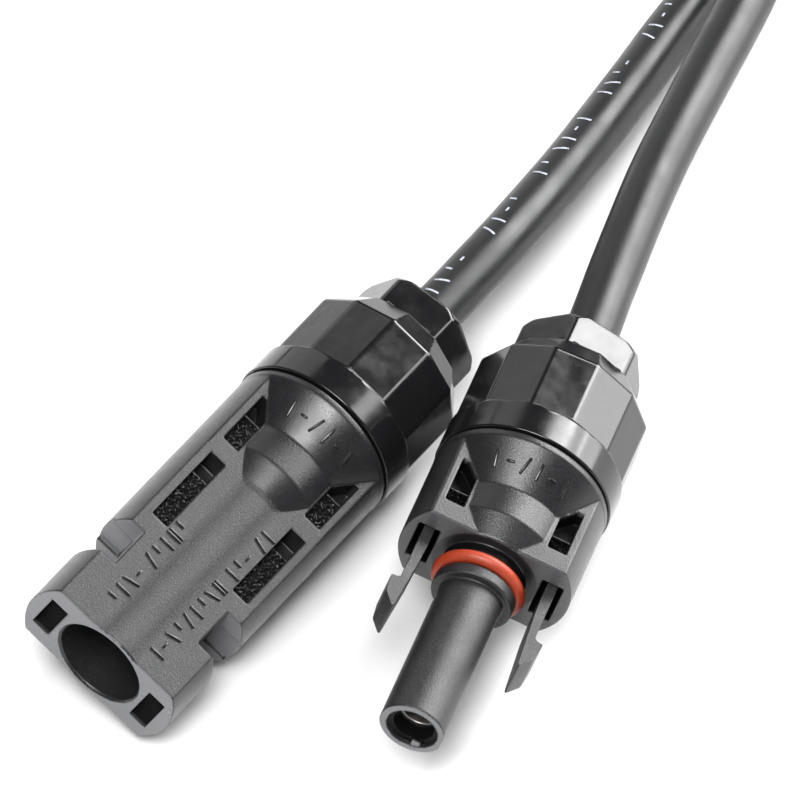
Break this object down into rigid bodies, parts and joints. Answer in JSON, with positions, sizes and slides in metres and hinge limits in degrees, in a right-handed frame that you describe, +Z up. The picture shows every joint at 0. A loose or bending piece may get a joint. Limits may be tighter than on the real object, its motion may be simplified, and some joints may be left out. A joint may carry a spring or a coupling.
{
  "type": "solar cable connector",
  "caption": "cable lead for solar panels with a locking pin connector and a latching socket connector, each on a screw gland",
  "frame": {"origin": "on the surface under the middle of the two connectors, whose box is centred on it", "axes": "+Y runs from the mating ends towards the cable, along the pin connector; +Z is up; +X is towards the socket connector"},
  "size_m": [0.0871, 0.2286, 0.0209],
  "materials": {
    "housing_plastic": "glass-filled, fine grained",
    "nut_plastic": "smooth, semi-gloss",
    "arm_plastic": "glass-filled, fine grained",
    "clamp_plastic": "satin",
    "seal_ring": "satin silicone",
    "gland_seal": "matte",
    "tinned_contact": "tin-plated, bright",
    "spring_steel": "satin",
    "louvre_band": "bright",
    "strands": "tinned copper",
    "insulation": "matte",
    "cable_sheath": "satin, fine drawn lines",
    "tie": "satin"
  },
  "bodies": {
    "lead": {"pin_housing": "housing_plastic", "socket_housing": "housing_plastic", "o_ring": "seal_ring", "pin_seal": "gland_seal", "socket_seal": "gland_seal", "pin_contact": "tinned_contact", "socket_contact": "tinned_contact", "pin_contact_clip": "spring_steel", "socket_contact_clip": "spring_steel", "contact_spring": "louvre_band", "pin_conductor": "strands", "socket_conductor": "strands", "pin_insulation": "insulation", "socket_insulation": "insulation", "pin_sheath_end": "cable_sheath", "socket_sheath_end": "cable_sheath", "cable_pin_run": "cable_sheath", "cable_socket_run": "cable_sheath", "cable_coil": "cable_sheath", "coil_tie": "tie"},
    "pin_clamp": {"pin_clamp_cage": "clamp_plastic"},
    "pin_nut": {"pin_end_nut": "nut_plastic"},
    "socket_clamp": {"socket_clamp_cage": "clamp_plastic"},
    "socket_nut": {"socket_end_nut": "nut_plastic"},
    "arm_left": {"latch_arm_left": "arm_plastic"},
    "arm_right": {"latch_arm_right": "arm_plastic"}
  },
  "joints": [
    {"name": "pin_nut_travel", "type": "slide", "parent": "lead", "child": "pin_clamp", "axis": [0, 1, 0], "range_m": [0, 0.003]},
    {"name": "pin_nut_turn", "type": "hinge", "parent": "pin_clamp", "child": "pin_nut", "pos_m": [-0.0133, 0.0053, 0.00945], "axis": [0, 1, 0], "range_deg": [0, 720]},
    {"name": "socket_nut_travel", "type": "slide", "parent": "lead", "child": "socket_clamp", "axis": [-0.2874, 0.9578, 0], "range_m": [0, 0.003]},
    {"name": "socket_nut_turn", "type": "hinge", "parent": "socket_clamp", "child": "socket_nut", "pos_m": [0.00852, 0.01131, 0.01145], "axis": [-0.2874, 0.9578, 0], "range_deg": [0, 720]},
    {"name": "latch_flex_left", "type": "hinge", "parent": "lead", "child": "arm_left", "pos_m": [0.0044, 0.00214, 0.01335], "axis": [0.2656, 0.0797, 0.9608], "range_deg": [0, 5], "stiffness_Nm_per_rad": 0.2},
    {"name": "latch_flex_right", "type": "hinge", "parent": "lead", "child": "arm_right", "pos_m": [0.017, 0.00592, 0.00955], "axis": [-0.2656, -0.0797, -0.9608], "range_deg": [0, 5], "stiffness_Nm_per_rad": 0.2}
  ],
  "couplings": [
    {"joint": "pin_nut_travel", "follows": "pin_nut_turn", "m_per_rad": 0.00023873},
    {"joint": "socket_nut_travel", "follows": "socket_nut_turn", "m_per_rad": 0.00023873}
  ]
}
